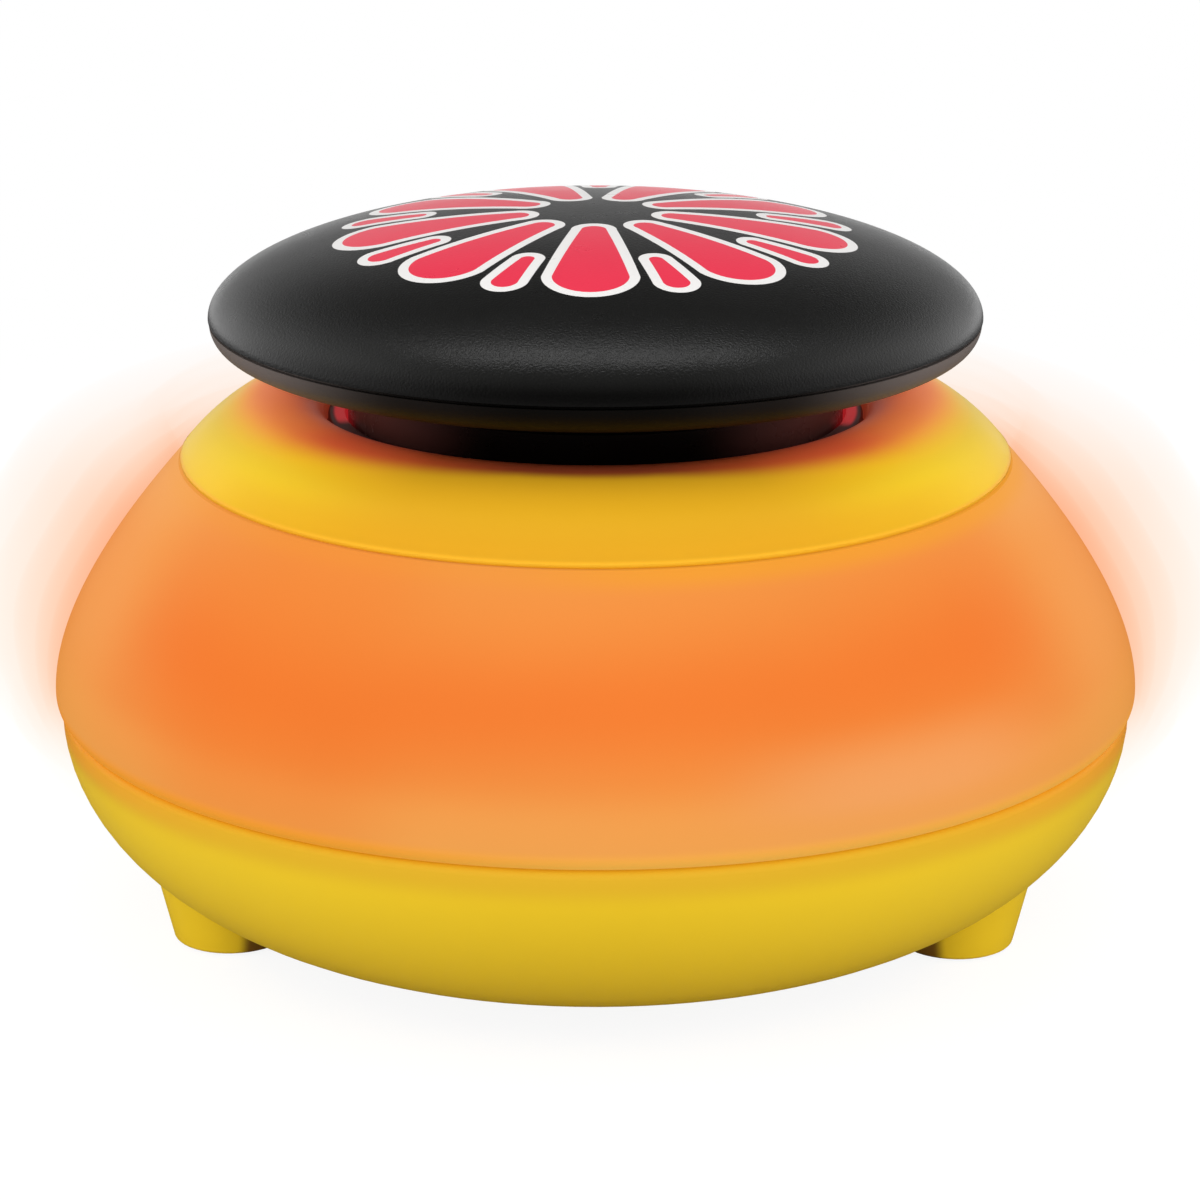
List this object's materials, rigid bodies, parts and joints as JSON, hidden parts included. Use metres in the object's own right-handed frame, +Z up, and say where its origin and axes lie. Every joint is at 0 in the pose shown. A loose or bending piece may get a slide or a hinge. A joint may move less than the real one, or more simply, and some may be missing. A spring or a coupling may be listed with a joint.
{
  "type": "light-up quiz buzzer",
  "caption": "Round tabletop buzzer with a wide domed push button on a collar, a glowing light band round a low dome base, and pegs for feet.",
  "frame": {"origin": "on the table surface, on the base's vertical axis, under the middle of the object", "axes": "+Z up out of the button, -Y towards the player at the front, +X to the player's right"},
  "size_m": [0.1256, 0.1256, 0.0828],
  "materials": {
    "cap_black": "black moulded dome with a fine satin grain and a printed pattern",
    "collar_black": "smooth glossy black moulded collar",
    "shell_yellow": "glossy warm yellow moulded shell",
    "bowl_yellow": "satin-gloss yellow moulded bowl, a little duller than the top",
    "band_orange": "translucent orange light band, lit from inside",
    "ring_red": "translucent red light ring",
    "rubber_black": "matte black rubber",
    "silicone_grey": "soft grey silicone",
    "frame_white": "natural white moulded plastic",
    "board_green": "green solder mask over glass fibre board",
    "chip_black": "black epoxy blob",
    "led_red": "tinted clear lamp lens",
    "capacitor_blue": "printed blue sleeve over an aluminium can",
    "resistor_tan": "tan lacquered body with coloured rings",
    "zinc_steel": "zinc plated steel",
    "spring_steel": "bright drawn spring wire",
    "contact_nickel": "nickel plated contact strip",
    "cell_sleeve": "plain printed sleeve over a metal can",
    "speaker_steel": "plated pressed steel",
    "magnet_black": "ferrite magnet between steel plates",
    "cone_paper": "black pressed paper cone",
    "foam_black": "foam gasket",
    "switch_black": "black ribbed slide knob",
    "wire_red": "red insulated lead",
    "wire_yellow": "yellow insulated lead",
    "wire_black": "black insulated lead"
  },
  "bodies": {
    "base": {"return_spring": "spring_steel", "top_shell": "shell_yellow", "light_ring": "ring_red", "guide_frame": "frame_white", "frame_screws": "zinc_steel", "diffuser_band": "band_orange", "circuit_board": "board_green", "board_screws": "zinc_steel", "rubber_dome_switch": "silicone_grey", "band_leds": "led_red", "ring_leds": "led_red", "sound_chip": "chip_black", "capacitor": "capacitor_blue", "resistors": "resistor_tan", "bottom_shell": "bowl_yellow", "left_foot_pad": "rubber_black", "right_foot_pad": "rubber_black", "rear_foot_pad": "rubber_black", "case_screws": "zinc_steel", "battery_door": "bowl_yellow", "battery_door_screw": "zinc_steel", "front_battery": "cell_sleeve", "rear_battery": "cell_sleeve", "battery_terminals": "contact_nickel", "battery_link": "contact_nickel", "speaker_frame": "speaker_steel", "speaker_cone": "cone_paper", "speaker_magnet": "magnet_black", "speaker_gasket": "foam_black", "speaker_retainer": "switch_black", "speaker_screws": "zinc_steel", "power_switch_body": "contact_nickel", "battery_wires": "wire_red", "switch_wires": "wire_yellow", "speaker_wires": "wire_black"},
    "button": {"button_dome": "cap_black", "button_underside": "collar_black", "plunger": "collar_black", "dome_screws": "zinc_steel", "retaining_washer": "zinc_steel", "retaining_screw": "zinc_steel"},
    "power_switch": {"power_switch_knob": "switch_black"}
  },
  "joints": [
    {"name": "button_press", "type": "slide", "parent": "base", "child": "button", "axis": [0, 0, -1], "range_m": [0, 0.003], "stiffness_N_per_m": 800, "springref_m": -0.004, "deforming": ["return_spring", "rubber_dome_switch"]},
    {"name": "power_slide", "type": "slide", "parent": "base", "child": "power_switch", "axis": [0, -1, 0], "range_m": [0, 0.003]}
  ]
}
